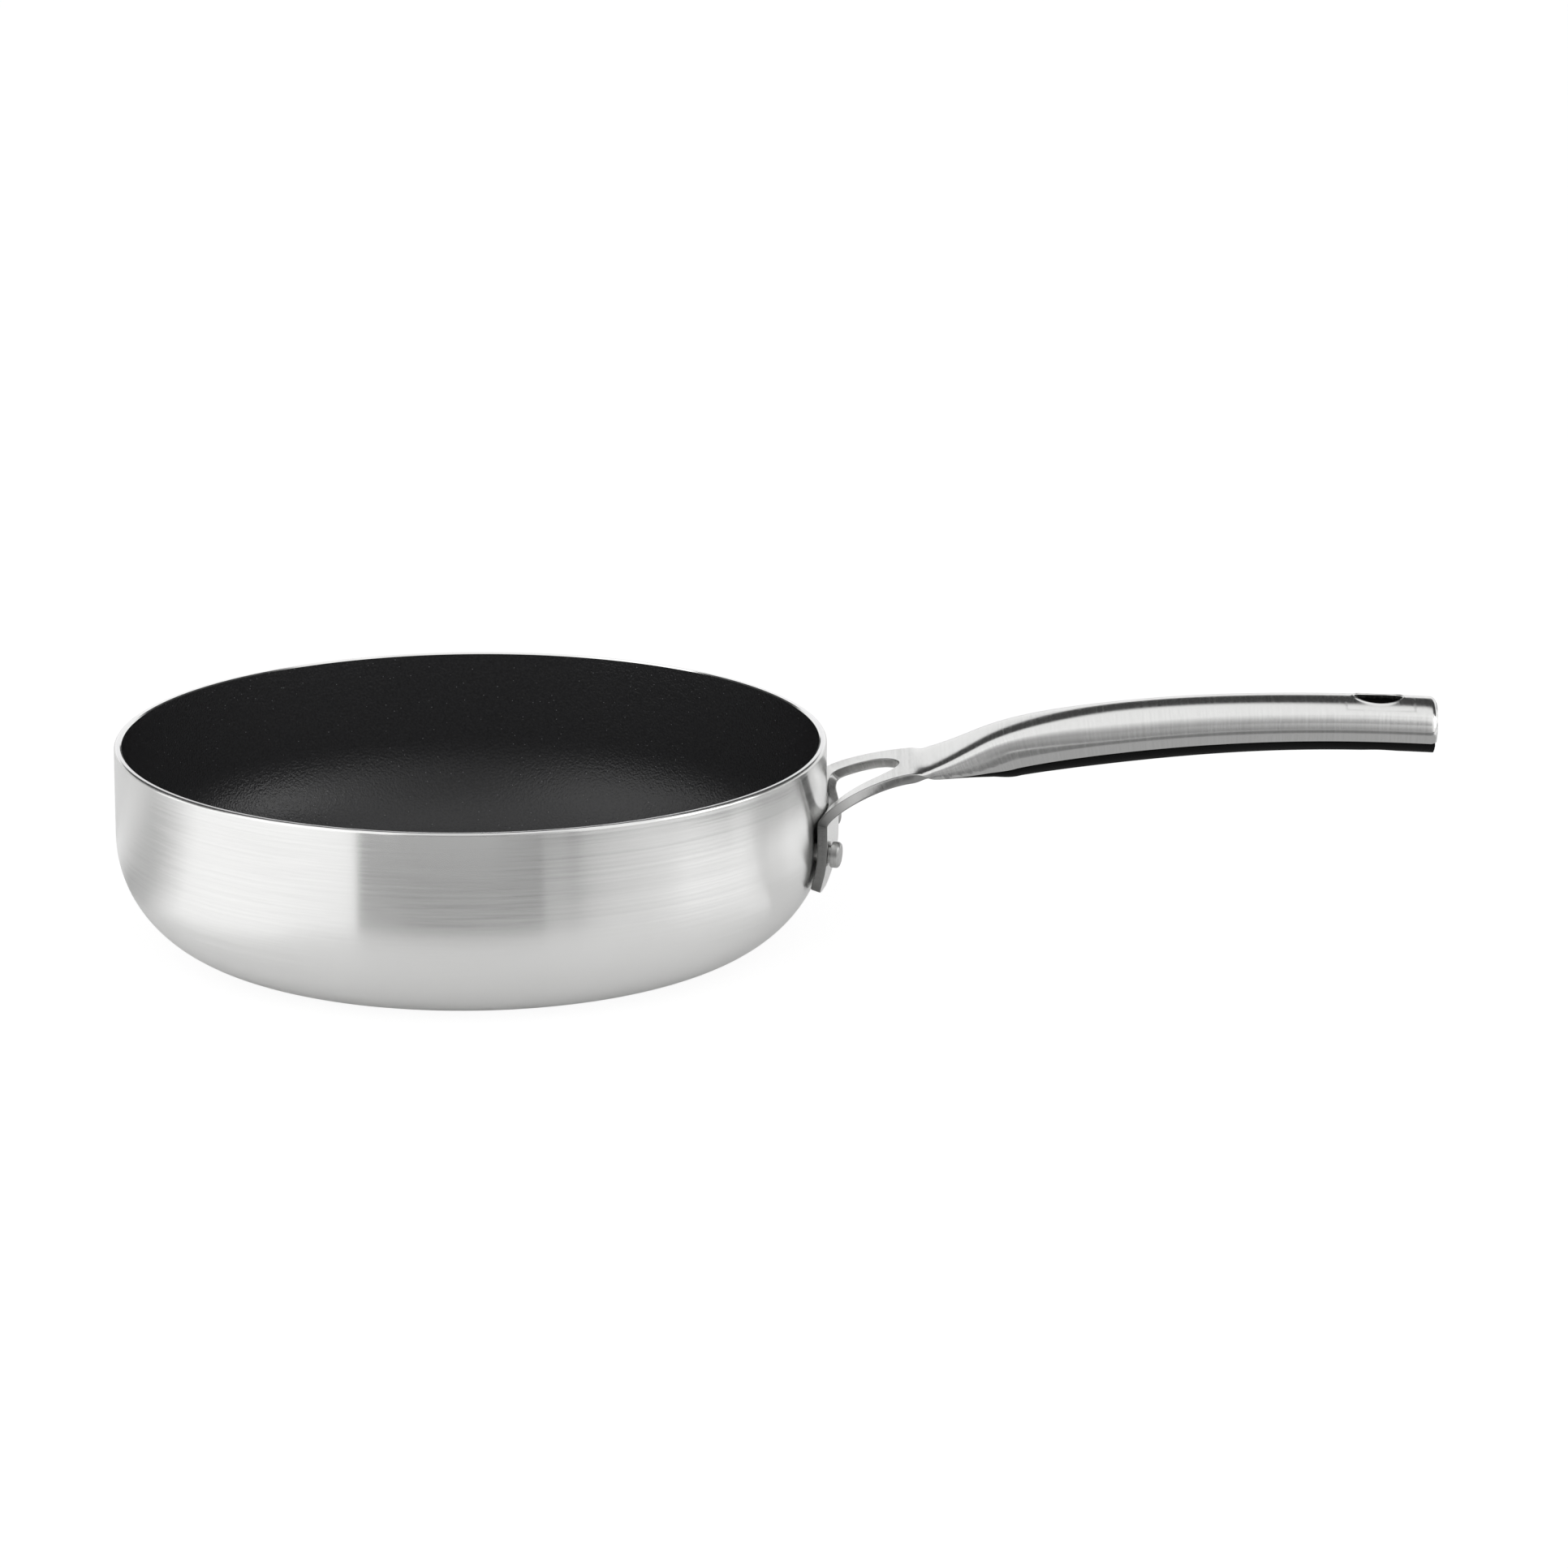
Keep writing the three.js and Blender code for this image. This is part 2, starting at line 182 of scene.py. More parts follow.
# Sprayed non-stick coating: near black, satin, slightly pebbled, with sparse pale flecks.
# Real flecks are about 0.1 mm; they are drawn larger so that they show.
liningFinish = {
    "name": "sprayedNonStick",
    "light": "#313132",
    "dark": "#1e1e1f",
    "fleck": "#626264",
    "fleckSpacing": 2.4,
    "fleckSize": 0.17,
    "pebble": 0.75,
    "pebbleDepth": 0.2,
    "roughness": (0.16, 0.23),
    "ior": 1.4,
}


def sprayedLining(finish):
    material, tree = newMaterial(finish["name"])
    place = addNode(tree, "ShaderNodeTexCoord").outputs["Object"]
    pebble = addNode(tree, "ShaderNodeTexNoise", {
        "Vector": place, "Scale": 1 / (finish["pebble"] * mm), "Detail": 2}).outputs[0]
    cell = addNode(tree, "ShaderNodeTexVoronoi", {
        "Vector": place, "Scale": 1 / (finish["fleckSpacing"] * mm), "Randomness": 1}).outputs["Distance"]
    fleck = addNode(tree, "ShaderNodeMath", {
        0: cell, 1: finish["fleckSize"] / finish["fleckSpacing"]}, operation="LESS_THAN").outputs[0]
    ground = addNode(tree, "ShaderNodeMix", {
        0: pebble, 6: hexColour(finish["dark"]), 7: hexColour(finish["light"])}, data_type="RGBA").outputs[2]
    tone = addNode(tree, "ShaderNodeMix", {
        0: fleck, 6: ground, 7: hexColour(finish["fleck"])}, data_type="RGBA").outputs[2]
    rough = addNode(tree, "ShaderNodeMapRange", {
        "Value": pebble, "To Min": finish["roughness"][0], "To Max": finish["roughness"][1]}).outputs[0]
    relief = addNode(tree, "ShaderNodeBump", {
        "Height": pebble, "Strength": 1, "Distance": finish["pebbleDepth"] * mm}).outputs[0]
    coating = addNode(tree, "ShaderNodeBsdfPrincipled", {
        "Base Color": tone, "Roughness": rough, "Normal": relief, "IOR": finish["ior"]})
    addNode(tree, "ShaderNodeOutputMaterial", {"Surface": coating.outputs[0]})
    return material


# Phenolic moulding: deep black, matt from a finely blasted mould
insertFinish = {
    "name": "blackPhenolicMoulding",
    "light": "#0e0e0e",
    "dark": "#0a0a0a",
    "grain": 0.7,
    "grainDepth": 0.02,
    "grainShare": 0.6,
    "roughness": (0.5, 0.62),
    "specular": 0.05,
}


def blackMoulding(finish):
    material, tree = newMaterial(finish["name"])
    place = addNode(tree, "ShaderNodeTexCoord").outputs["Object"]
    grain = addNode(tree, "ShaderNodeTexNoise", {
        "Vector": place, "Scale": 1 / (finish["grain"] * mm), "Detail": 3}).outputs[0]
    tone = addNode(tree, "ShaderNodeMix", {
        0: grain, 6: hexColour(finish["dark"]), 7: hexColour(finish["light"])}, data_type="RGBA").outputs[2]
    rough = addNode(tree, "ShaderNodeMapRange", {
        "Value": grain, "To Min": finish["roughness"][0], "To Max": finish["roughness"][1]}).outputs[0]
    relief = addNode(tree, "ShaderNodeBump", {
        "Height": grain, "Strength": finish["grainShare"], "Distance": finish["grainDepth"] * mm}).outputs[0]
    moulding = addNode(tree, "ShaderNodeBsdfPrincipled", {
        "Base Color": tone, "Roughness": rough, "Normal": relief, "Specular IOR Level": finish["specular"]})
    addNode(tree, "ShaderNodeOutputMaterial", {"Surface": moulding.outputs[0]})
    return material


vesselSteel = brushedSteel(vesselFinish)
bareSteel = brushedSteel(bareFinish)
handleSteel = brushedSteel(handleFinish)
rivetSteel = brushedSteel(rivetFinish)
coreAluminium = turnedAluminium(coreFinish)
liningCoating = sprayedLining(liningFinish)
insertBlack = blackMoulding(insertFinish)
print("materials made")


def smoothMesh(mesh, sharpAngle):  # closed shell with outward faces, smooth up to the given angle
    shape = bmesh.new()
    shape.from_mesh(mesh)
    bmesh.ops.remove_doubles(shape, verts=shape.verts, dist=weld)
    bmesh.ops.delete(shape, geom=[v for v in shape.verts if not v.link_faces], context="VERTS")
    bmesh.ops.recalc_face_normals(shape, faces=shape.faces)
    shape.to_mesh(mesh)
    shape.free()
    mesh.polygons.foreach_set("use_smooth", [True] * len(mesh.polygons))
    mesh.set_sharp_from_angle(angle=math.radians(sharpAngle))


def finishPiece(piece, slot, *nodes):
    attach(piece, "root")
    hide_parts(*nodes)


# Turning nodes: a grid whose rows are the profile's points and whose columns go round the axis
def turnNodes(tree, profile, segments):
    count = addNode(tree, "GeometryNodeAttributeDomainSize", {"Geometry": profile}).outputs["Point Count"]
    columns = addNode(tree, "FunctionNodeIntegerMath", {0: segments, 1: 1}, operation="ADD").outputs[0]
    grid = addNode(tree, "GeometryNodeMeshGrid", {
        "Size X": 1, "Size Y": 1, "Vertices X": count, "Vertices Y": columns}).outputs["Mesh"]
    index = addNode(tree, "GeometryNodeInputIndex").outputs[0]
    row = addNode(tree, "FunctionNodeIntegerMath", {
        0: index, 1: columns}, operation="DIVIDE_FLOOR").outputs[0]
    column = addNode(tree, "FunctionNodeIntegerMath", {
        0: index, 1: columns}, operation="MODULO").outputs[0]
    share = addNode(tree, "ShaderNodeMath", {0: column, 1: segments}, operation="DIVIDE").outputs[0]
    turn = addNode(tree, "ShaderNodeMath", {0: share, 1: 2 * math.pi}, operation="MULTIPLY").outputs[0]
    position = addNode(tree, "GeometryNodeInputPosition").outputs[0]
    point = addNode(tree, "GeometryNodeSampleIndex", {
        "Geometry": profile, "Value": position, "Index": row}, data_type="FLOAT_VECTOR").outputs[0]
    runName = addNode(tree, "GeometryNodeInputNamedAttribute", {
        "Name": "run"}, data_type="FLOAT").outputs[0]
    run = addNode(tree, "GeometryNodeSampleIndex", {
        "Geometry": profile, "Value": runName, "Index": row}, data_type="FLOAT").outputs[0]
    rotated = addNode(tree, "ShaderNodeVectorRotate", {
        "Vector": point, "Angle": turn}, rotation_type="Z_AXIS").outputs[0]
    spun = addNode(tree, "GeometryNodeSetPosition", {"Geometry": grid, "Position": rotated}).outputs[0]
    for name, value in (("turn", turn), ("run", run)):
        spun = addNode(tree, "GeometryNodeStoreNamedAttribute", {
            "Geometry": spun, "Name": name, "Value": value}, data_type="FLOAT", domain="POINT").outputs[0]
    turnName = addNode(tree, "GeometryNodeInputNamedAttribute", {
        "Name": "turn"}, data_type="FLOAT").outputs[0]
    chart = addNode(tree, "ShaderNodeCombineXYZ", {"X": runName, "Y": turnName}).outputs[0]
    charted = addNode(tree, "GeometryNodeStoreNamedAttribute", {
        "Geometry": spun, "Name": "brush", "Value": chart}, data_type="FLOAT2", domain="CORNER").outputs[0]
    return addNode(tree, "GeometryNodeMergeByDistance", {"Geometry": charted, "Distance": weld}).outputs[0]


def newTree(name, sizes):
    tree = bpy.data.node_groups.new(name, "GeometryNodeTree")
    tree.interface.new_socket("Profile", in_out="INPUT", socket_type="NodeSocketGeometry")
    for label, kind in sizes.items():
        tree.interface.new_socket(label, in_out="INPUT", socket_type=kind)
    tree.interface.new_socket("Geometry", in_out="OUTPUT", socket_type="NodeSocketGeometry")
    return tree, addNode(tree, "NodeGroupInput").outputs


def closeTree(tree, geometry, material):
    realized = addNode(tree, "GeometryNodeRealizeInstances", {"Geometry": geometry}).outputs[0]
    painted = addNode(tree, "GeometryNodeSetMaterial", {
        "Geometry": realized, "Material": material}).outputs[0]
    addNode(tree, "NodeGroupOutput", {"Geometry": painted})


def pieceFromProfile(name, profile, tree, values, sharpAngle):
    profile = np.asarray(profile)
    run = np.r_[0, np.cumsum(np.hypot(*np.diff(profile, axis=0).T))]
    outline = bpy.data.meshes.new(name)
    outline.from_pydata([(r * mm, 0, z * mm) for r, z in profile], [], [])
    outline.attributes.new("run", "FLOAT", "POINT").data.foreach_set("value", run)
    piece = bpy.data.objects.new(name, outline)
    bpy.context.scene.collection.objects.link(piece)
    modifier = piece.modifiers.new(name, "NODES")
    modifier.node_group = tree
    for item in tree.interface.items_tree:
        if item.in_out == "INPUT" and item.name in values:
            modifier[item.identifier] = values[item.name]
    solid = bpy.data.meshes.new_from_object(piece.evaluated_get(bpy.context.evaluated_depsgraph_get()))
    piece.modifiers.clear()
    piece.data = solid
    smoothMesh(solid, sharpAngle)
    return piece


# Vessel: four bonded layers turned about Z, from the outside in
vessel = {
    "radius": 120,
    "height": 69.4,
    "corner": 39,
    "rimRound": 1.1,
    "rimBevel": 0.4,
    "bevelLean": 0.9,
    "cornerSteps": 28,
    "rimSteps": 8,
    "segments": 288,
    "sharpAngle": 35,
    "layers": [
        ("vesselOuterSteel", "outer_steel_ply", "vessel_steel", 0.5, vesselSteel, 0),
        ("vesselCore", "aluminium_core", "core_aluminium", 1.5, coreAluminium, 0),
        ("vesselInnerSteel", "inner_steel_ply", "inner_steel", 0.4, bareSteel, 0),
        ("vesselLining", "nonstick_lining", "lining", 0.1, liningCoating, 0.4),
    ],
}
baseRadius = vessel["radius"] - vessel["corner"]


def rimHeight(depth):
    inset = min(max(vessel["rimRound"] - depth, 0), vessel["rimRound"])
    return vessel["height"] - vessel["rimRound"] + math.sqrt(vessel["rimRound"] ** 2 - inset ** 2)


def wallCurve(depth, lowered):
    reach = vessel["corner"] - depth
    points = [(0, depth)]
    for k in range(vessel["cornerSteps"] + 1):
        angle = quarterTurn * k / vessel["cornerSteps"]
        points.append((baseRadius + reach * math.sin(angle), vessel["corner"] - reach * math.cos(angle)))
    return points + [(vessel["radius"] - depth, rimHeight(depth) - lowered)]


def layerProfile(outer, inner, lowered, bevel):
    points = wallCurve(outer, lowered)
    edge = min(inner, vessel["rimRound"])
    if outer < edge:
        for k in range(1, vessel["rimSteps"] + 1):
            depth = outer + (edge - outer) * (k / vessel["rimSteps"]) ** 2
            points.append((vessel["radius"] - depth, rimHeight(depth) - lowered))
    back = wallCurve(inner, lowered)[::-1]
    if bevel:
        back[:1] = [(back[0][0] + bevel * vessel["bevelLean"], back[0][1]), (back[0][0], back[0][1] - bevel)]
    return points + back


layerTree, layerInputs = newTree("turnedLayer", {"Segments": "NodeSocketInt", "Finish": "NodeSocketMaterial"})
turnedWall = turnNodes(layerTree, layerInputs["Profile"], layerInputs["Segments"])
closeTree(layerTree, turnedWall, layerInputs["Finish"])
depth = 0
for name, node, slot, thickness, finish, lowered in vessel["layers"]:
    profile = layerProfile(depth, depth + thickness, lowered, vessel["rimBevel"] * (finish == bareSteel))
    sizes = {"Segments": vessel["segments"], "Finish": finish}
    layer = pieceFromProfile(name, profile, layerTree, sizes, vessel["sharpAngle"])
    finishPiece(layer, slot, node)
    depth += thickness
print("vessel turned")

# Handle: one folded sheet on its side line, in millimetres
handle = {
    "gap": 0.3,
    "flangeGap": 0.7,
    "sheet": 3.3,
    "gripWall": 1.3,
    "flangeWidth": 63,
    "flangeBottom": 24.5,
    "flangeTop": 47,
    "flangeCorner": 4,
    "flareLength": 34,
    "flarePower": 2.3,
    "wrapFade": 0.8,
    "neck": (27.4, 14.6, 7, 34.6),
    "hip": (49.7, 23.6, 26, 27.6),
    "end": (205.2, 36.4, -3, 26),
    "bendPulls": (0.19, 0.5),
    "risePulls": (0.25, 0.45),
    "crownPulls": (0.19, 0.44),
    "foldLength": 32,
    "roundLength": 75,
    "neckPower": 6,
    "neckLowerShare": 0.12,
    "hipHeight": 18,
    "belly": 2,
    "bellyPlace": 0.25,
    "endHeight": 18.3,
    "lipAngle": math.radians(26),
    "endRound": 2,
    "edgeRound": 0.6,
    "edgeShare": 0.45,  # most of a narrow side that its rounding may take
    "edgeSteps": 4,
    "insertStart": 7,
    "armWidth": 8.8,
    "breakSill": 0.6,
    "breakLength": 28.5,
    "breakSillRound": 7,
    "breakTipRound": 10,
    "lineSamples": 801,
    "rows": {"corner": 13, "flange": 19, "sill": 3, "break": 49, "afterBreak": 14,
             "rise": 41, "crown": 91, "end": 9},
    "columns": 36,
    "lastColumn": 0.95,
    "sharpAngle": 32,
    "flangeDullAndShade": (1, 0.5, 10),  # dullness and painted shade of the cut edge where it starts, further on, and the way between
    "neckDullAndShade": (1, 0.6, 24),
    "breakDullAndShade": 0.4,
}
neckReach, neckRise, neckSlope, neckWidth = handle["neck"]
hipReach, hipRise, hipSlope, hipWidth = handle["hip"]
endReach, endRise, endSlope, endWidth = handle["end"]
wallX = vessel["radius"] + handle["flangeGap"]


def mix(low, high, share):
    return low + (high - low) * share


def ease(value, low, high):
    share = np.clip((value - low) / (high - low), 0, 1)
    return share * share * (3 - 2 * share)


def bezierLine(start, startSlope, end, endSlope, pulls):
    start, end = np.array(start), np.array(end)
    span = np.linalg.norm(end - start)
    heads = [np.array([math.cos(math.radians(a)), math.sin(math.radians(a))]) for a in (startSlope, endSlope)]
    u = np.linspace(0, 1, handle["lineSamples"])[:, None]
    first, second = start + heads[0] * pulls[0] * span, end - heads[1] * pulls[1] * span
    points = (1 - u) ** 3 * start + 3 * u * (1 - u) ** 2 * first + 3 * u * u * (1 - u) * second + u ** 3 * end
    return points, np.r_[0, np.cumsum(np.hypot(*np.diff(points, axis=0).T))]


neckPoint = (wallX + neckReach, handle["flangeTop"] + neckRise)
hipPoint = (wallX + hipReach, handle["flangeTop"] + hipRise)
endPoint = (vessel["radius"] + endReach, handle["flangeTop"] + endRise)
bendLine = bezierLine((wallX, handle["flangeTop"]), 90, neckPoint, neckSlope, handle["bendPulls"])
riseLine = bezierLine(neckPoint, neckSlope, hipPoint, hipSlope, handle["risePulls"])
crownLine = bezierLine(hipPoint, hipSlope, endPoint, endSlope, handle["crownPulls"])


# Spots are rows of x, z, the direction through the sheet, the wrap round the vessel and the drawn-in edge
def lineSpots(line, shares, wrap=0, inset=0):
    points, steps = line
    at = np.asarray(shares) * steps[-1]
    x, z = (np.interp(at, steps, points[:, k]) for k in (0, 1))
    alongX, alongZ = (np.interp(at, steps, np.gradient(points[:, k])) for k in (0, 1))
    size = np.hypot(alongX, alongZ)
    return np.column_stack([x, z, alongZ / size, -alongX / size, x * 0 + wrap, x * 0 + inset])


def flangeSpots(heights):
    drop = np.maximum(vessel["corner"] - heights, 0)
    run = np.sqrt((vessel["corner"] + handle["flangeGap"]) ** 2 - drop ** 2)
    size = np.hypot(run, drop)
    ones = np.ones_like(heights)
    return np.column_stack([baseRadius + run, heights, run / size, -drop / size, ones, 0 * ones])


def swell(share):  # fullness of the belly from the fold to the end
    return share * (1 - share) ** (1 / handle["bellyPlace"] - 1)


def gripSection(reach):
    foldEnd = neckReach + handle["foldLength"]
    folded = ease(reach, neckReach, foldEnd)
    toEnd = np.clip((reach - foldEnd) / (endReach - foldEnd), 0, 1)
    straight = mix(mix(handle["sheet"], handle["hipHeight"], folded), handle["endHeight"], toEnd)
    tall = straight + handle["belly"] * swell(toEnd) / swell(handle["bellyPlace"])
    lowerShare = mix(handle["neckLowerShare"], 0.5, folded)
    square = 1 - np.clip((reach - neckReach) / handle["roundLength"], 0, 1)
    return {
        "wide": mix(mix(neckWidth, hipWidth, folded), endWidth, toEnd) / 2,
        "upper": tall * (1 - lowerShare),
        "lower": tall * lowerShare,
        "wall": mix(handle["sheet"], handle["gripWall"], folded),
        "power": mix(2, handle["neckPower"], square ** 2),
        "lip": handle["lipAngle"] * folded,
    }


def sectionPoints(section, angle, inset):  # across, and down from the crown
    wide = section["wide"] - inset
    bend = 2 / section["power"]
    above = np.clip(angle, 0, quarterTurn)
    upper = np.maximum(section["upper"] - inset, 0)
    lower = np.maximum(section["lower"] - inset, 0)
    low = angle < 0
    across = wide * np.where(low, np.cos(angle), np.cos(above) ** bend)
    downAbove = inset + upper * (1 - np.sin(above) ** bend)
    downBelow = np.maximum(section["upper"], inset) + lower * np.sin(-np.minimum(angle, 0))
    return np.stack([across, np.where(low, downBelow, downAbove)], -1)


def flatHalf(spots):
    drop = np.clip(handle["flangeBottom"] + handle["flangeCorner"] - spots[:, 1], 0, handle["flangeCorner"])
    corner = np.sqrt(handle["flangeCorner"] ** 2 - drop ** 2)
    foot = handle["flangeWidth"] / 2 - handle["flangeCorner"] + corner
    flare = 1 - np.clip((spots[:, 0] - wallX) / handle["flareLength"], 0, 1)
    return mix(neckWidth / 2, foot, flare ** handle["flarePower"])


def placed(spots, flat):  # across and down to x, y, z, wrapped round the vessel
    x = spots[:, None, 0] + spots[:, None, 2] * flat[..., 1]
    sag = x - np.sqrt(x ** 2 - flat[..., 0] ** 2)
    z = spots[:, None, 1] + spots[:, None, 3] * flat[..., 1]
    return np.stack([x - spots[:, None, 4] * sag, flat[..., 0], z], -1)


# Loop of one half: out along the upper face, round both edges, back along the under face,
# and then up the wall of the heat break, which has faces only where the break is open
def halfLoop(upper, under, outerRound, innerRound):
    t = np.linspace(0, 1, handle["edgeSteps"] + 1)[None, :, None]

    def rounded(before, corner, after, radius):
        def towards(point):
            step = point - corner
            size = np.maximum(np.linalg.norm(step, axis=-1, keepdims=True), 1e-9)
            return corner + step / size * np.minimum(radius[:, None], handle["edgeShare"] * size)
        start, finish = towards(before)[:, None], towards(after)[:, None]
        return (1 - t) ** 2 * start + 2 * t * (1 - t) * corner[:, None] + t ** 2 * finish

    top = rounded(upper[:, -2], upper[:, -1], under[:, -1], outerRound)
    bottom = rounded(upper[:, -1], under[:, -1], under[:, -2], outerRound)
    inBottom = rounded(under[:, 1], under[:, 0], upper[:, 0], innerRound)
    inTop = rounded(under[:, 0], upper[:, 0], upper[:, 1], innerRound)
    skin = [inTop[:, -1:], upper[:, 1:-1], top, bottom, under[:, -2:0:-1], inBottom[:, :1]]
    return np.concatenate(skin + [inBottom[:, 1:], inTop[:, :-1]], 1), sum(part.shape[1] for part in skin)


class Shell:
    # Gathers the points and faces of a piece that is alike on both sides of the plane y = 0
    def __init__(self):
        self.points, self.runs, self.cuts, self.faces, self.total = [], [], [], [], 0

    def add(self, points, runs, cuts=0):
        start = self.total
        self.points.append(points.reshape(-1, 3))
        for kept, values in ((self.runs, runs), (self.cuts, cuts)):
            kept.append(np.broadcast_to(values, points.shape[:-1]).reshape(-1))
        self.total += self.points[-1].shape[0]
        return start + np.arange(self.total - start).reshape(points.shape[:-1])

    def strip(self, first, second, keep=None):
        quads = np.stack([first[:-1], second[:-1], second[1:], first[1:]], -1)
        self.faces.append(quads if keep is None else quads[keep])

    def build(self, name, material, sharpAngle):
        points, faces = np.concatenate(self.points), np.concatenate(self.faces)
        mesh = bpy.data.meshes.new(name)
        mesh.from_pydata((points * mm).tolist(), [], faces.tolist())
        run = np.concatenate(self.runs)
        mesh.attributes.new("run", "FLOAT", "POINT").data.foreach_set("value", run)
        mesh.attributes.new("cut", "FLOAT", "POINT").data.foreach_set("value", np.concatenate(self.cuts))
        corner = np.array([loop.vertex_index for loop in mesh.loops])
        chart = np.column_stack([run, points[:, 1] + points[:, 2]])[corner]
        mesh.uv_layers.new(name="brush").data.foreach_set("uv", chart.ravel())
        mesh.materials.append(material)
        mesh.validate()
        smoothMesh(mesh, sharpAngle)
        piece = bpy.data.objects.new(name, mesh)
        bpy.context.scene.collection.objects.link(piece)
        return piece


def loftHalves(shell, spots, loops, skinCount, runs, openRows, hole, dullShadedEdge=0):
    sides = []
    place = np.arange(loops.shape[1])
    sheetEdge = abs(place - (skinCount - 1) / 2) < handle["edgeSteps"]
    breakWall = (place > skinCount) & np.append(openRows, False)[:, None]
    # cut edges and the walls of the heat break are darkened: partly a duller cut, partly painted shade
    cuts = np.maximum(sheetEdge * dullShadedEdge, breakWall * handle["breakDullAndShade"] * (np.max(dullShadedEdge) > 0))
    for side in (1, -1):
        half = placed(spots, loops)
        half[..., 1] *= side
        index = shell.add(half, runs[:, None], cuts)
        for row in range(len(spots) - 1):
            keep = np.ones(len(place), bool)
            keep[skinCount - 1:] = openRows[row]
            if hole["rows"][0] <= row < hole["rows"][1]:
                keep[:hole["columns"]] = False
                keep[skinCount - 1 - hole["columns"]:skinCount - 1] = False
            first, second = (np.append(line, line[0]) for line in index[row:row + 2])
            shell.strip(first, second, keep)
        for row in (0, -1):  # end faces
            shell.strip(index[row, :skinCount // 2], index[row, skinCount // 2:skinCount][::-1])
        sides.append(index)
    return sides


# Hang hole, its steel edge drawn down into the insert
hang = {
    "length": 16.4,
    "width": 12,
    "fromEnd": 19.6,
    "round": 0.7,
    "depth": 1.6,
    "lower": 0.8,
    "lip": 0.2,
    "lipFoot": 1.3,
    "lipRound": 0.5,
    "clear": 12,  # the sheet's own rows stop this far from the middle of the hole
    "columns": 15,
    "lidSteps": 6,
    "lipSteps": 6,
    "roundSteps": 8,
    "underSteps": 2,
}
hangX = endPoint[0] - hang["fromEnd"]


def crownHeight(x, y):
    section = gripSection(x - wallX)
    share = np.clip(np.abs(y) / section["wide"], 0, 1)
    down = section["upper"] * (1 - (1 - share ** section["power"]) ** (1 / section["power"]))
    return np.interp(x, *crownLine[0].T) - down


def bellyHeight(x, y):
    section = gripSection(x - wallX)
    share = np.clip(np.abs(y) / section["wide"], 0, 1)
    return np.interp(x, *crownLine[0].T) - section["upper"] - section["lower"] * np.sqrt(1 - share ** 2)


def holeBorder(sides, hole, column):  # round the gap left in the grid, on the upper or the under face
    first, last = hole["rows"]
    near, far = sides[0][:, column], sides[1][:, column]
    reach = hole["columns"]
    return np.concatenate([near[first, :reach], near[first:last, reach], near[last, reach:0:-1],
                           far[last, :reach], far[last:first:-1, reach], far[first, reach:0:-1]])


def oval(angle, grown):
    x = hangX + (hang["length"] / 2 + grown) * np.cos(angle)
    return x, (hang["width"] / 2 + grown) * np.sin(angle)


# Rows from the border in to the oval, on the given surface
def lidRows(shell, border, angle, height, grown, steps):
    flat = np.concatenate(shell.points)[border]
    lift = flat[:, 2] - height(flat[:, 0], flat[:, 1])
    ring = border
    for k in range(1, steps + 1):
        share = k / steps
        x, y = (mix(a, b, share) for a, b in zip(flat.T[:2], oval(angle, grown)))
        ring = wallRow(shell, ring, np.column_stack([x, y, height(x, y) + lift * (1 - share)]))
    return ring


def wallRow(shell, ring, points):
    following = shell.add(points, points[:, 0] - vessel["radius"])
    shell.strip(np.append(ring, ring[0]), np.append(following, following[0]))
    return following


def holeAngle(shell, border):
    flat = np.concatenate(shell.points)[border]
    return np.arctan2(flat[:, 1] / hang["width"], (flat[:, 0] - hangX) / hang["length"])


def sunk(angle, grown, height, depth):
    x, y = oval(angle, grown)
    return np.column_stack([x, y, height(x, y) - depth])


# Rows of the shell: flange, bend with the heat break, rise, crown and rounded end
counts = handle["rows"]
bendLength = bendLine[1][-1]
breakSteps = (1 - np.cos(np.linspace(0, math.pi, counts["break"]))) / 2
breakShares = (handle["breakSill"] + handle["breakLength"] * breakSteps) / bendLength
beforeBreak = np.linspace(0, breakShares[0], counts["sill"])
afterBreak = np.linspace(breakShares[-1], 1, counts["afterBreak"])[:-1]
bendShares = np.unique(np.r_[beforeBreak, breakShares, afterBreak])
cornerTurn = np.linspace(0, quarterTurn, counts["corner"])[:-1]
cornerTop = handle["flangeBottom"] + handle["flangeCorner"]
flangeHeights = np.r_[handle["flangeBottom"] + handle["flangeCorner"] * (1 - np.cos(cornerTurn)),
                      np.linspace(cornerTop, handle["flangeTop"], counts["flange"])[:-1]]
crownLength = crownLine[1][-1]
endTurn = np.linspace(0, quarterTurn, counts["end"])
endShares = 1 - handle["endRound"] / crownLength * (1 - np.sin(endTurn))
crownShares = np.linspace(0, endShares[0], counts["crown"])[:-1]
flangeRows = flangeSpots(flangeHeights)
bendRows = lineSpots(bendLine, bendShares, 1 - ease(bendShares, 0, handle["wrapFade"]))
riseRows = lineSpots(riseLine, np.linspace(0, 1, counts["rise"])[:-1])
crownRows = lineSpots(crownLine, crownShares)
endRows = lineSpots(crownLine, endShares, 0, handle["endRound"] * (1 - np.cos(endTurn)))
shellSpots = np.concatenate([flangeRows, bendRows, riseRows, crownRows, endRows])


def runAlong(spots):
    return np.r_[0, np.cumsum(np.hypot(*np.diff(spots[:, :2], axis=0).T))]


def breakHalf(spots):
    along = np.full(len(spots), -1.0)
    start = len(flangeRows)
    along[start:start + len(bendRows)] = bendShares * bendLength - handle["breakSill"]
    inside = (along >= 0) & (along <= handle["breakLength"])
    fromSill = np.clip(1 - along / handle["breakSillRound"], 0, 1)
    fromTip = np.clip(1 - (handle["breakLength"] - along) / handle["breakTipRound"], 0, 1)
    opened = np.sqrt(np.maximum((1 - fromSill ** 2) * (1 - fromTip ** 2), 0))
    return np.where(inside, (flatHalf(spots) - handle["armWidth"]) * opened, 0)


